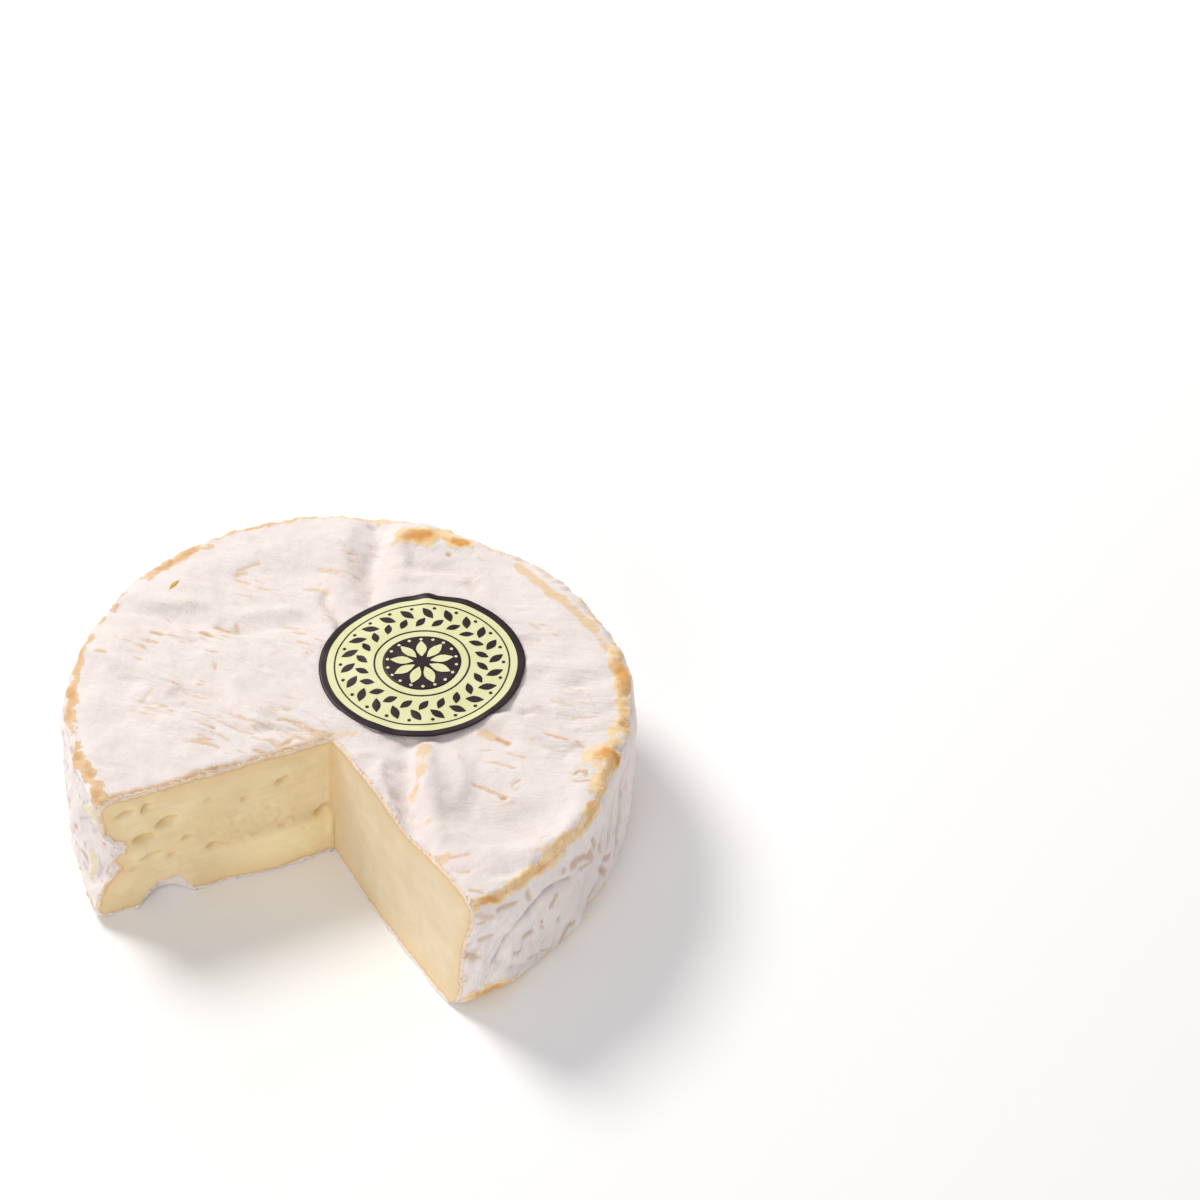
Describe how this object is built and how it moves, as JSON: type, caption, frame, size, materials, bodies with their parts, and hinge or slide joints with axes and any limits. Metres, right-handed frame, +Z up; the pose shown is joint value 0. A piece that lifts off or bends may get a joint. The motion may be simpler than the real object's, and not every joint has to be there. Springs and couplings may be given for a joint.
{
  "type": "camembert cheese",
  "caption": "Round soft-ripened cheese with a bloomy white rind, a wedge cut out and a round paper label on top.",
  "frame": {"origin": "on the surface the cheese rests on, under the middle of its outline", "axes": "+Z up through the wheel, -Y towards the open wedge, +X to the right as seen from there"},
  "size_m": [0.1102, 0.1132, 0.0315],
  "materials": {
    "bloomy_rind": "dry, velvety mould rind over soft pale yellow paste",
    "printed_paper": "thin printed paper with a slight sheen"
  },
  "bodies": {
    "root": {"cheese": "bloomy_rind", "label": "printed_paper"}
  },
  "joints": []
}
